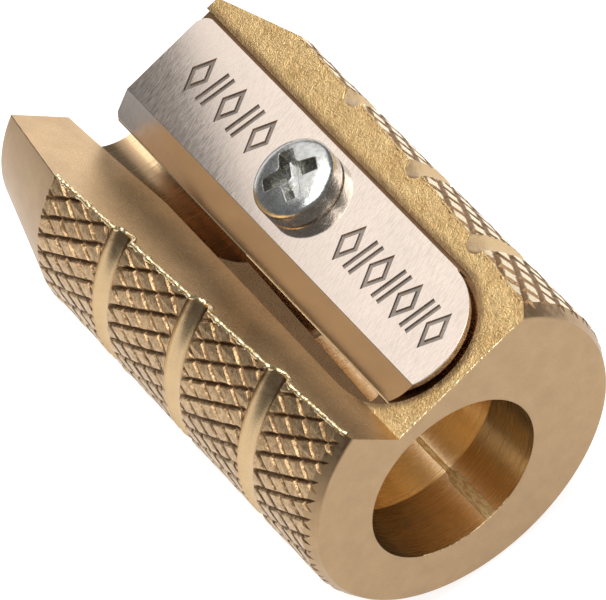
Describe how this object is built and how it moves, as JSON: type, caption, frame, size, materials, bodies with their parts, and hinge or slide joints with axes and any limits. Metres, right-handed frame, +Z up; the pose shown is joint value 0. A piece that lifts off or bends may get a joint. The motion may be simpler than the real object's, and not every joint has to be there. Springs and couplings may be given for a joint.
{
  "type": "pencil sharpener",
  "caption": "Round knurled brass pencil sharpener: cylindrical barrel with a tapered pencil bore, a slanted milled seat, and a steel blade clamped on it by a cross-recess screw.",
  "frame": {"origin": "centre of the pencil bore's mouth, on the flat entrance face", "axes": "+X leaves the bore's mouth, square to the entrance face and along the barrel; +Z is up as the sharpener lies at rest on its round side with the blade on top, which rolls the width of the blade's seat 12.2 degrees from level, higher on the +Y side; +Y completes the right-handed set"},
  "size_m": [0.0247, 0.015, 0.0138],
  "materials": {
    "brass_body": "turned and knurled, unlacquered satin",
    "blade_steel": "ground across its width, satin",
    "screw_steel": "bright zinc plated"
  },
  "bodies": {
    "barrel": {"barrel": "brass_body"},
    "blade": {"blade": "blade_steel"},
    "screw": {"blade_screw": "screw_steel"}
  },
  "joints": [
    {"name": "blade_rise", "type": "slide", "parent": "barrel", "child": "blade", "axis": [-0.1478, -0.209, 0.9667], "range_m": [0, 0.0024]},
    {"name": "screw_turn", "type": "hinge", "parent": "blade", "child": "screw", "pos_m": [-0.01312, 0.00305, 0.00404], "axis": [-0.1478, -0.209, 0.9667], "range_deg": [0, 2160.5]}
  ],
  "couplings": [
    {"joint": "screw_turn", "follows": "blade_rise", "rad_per_m": 15708}
  ]
}
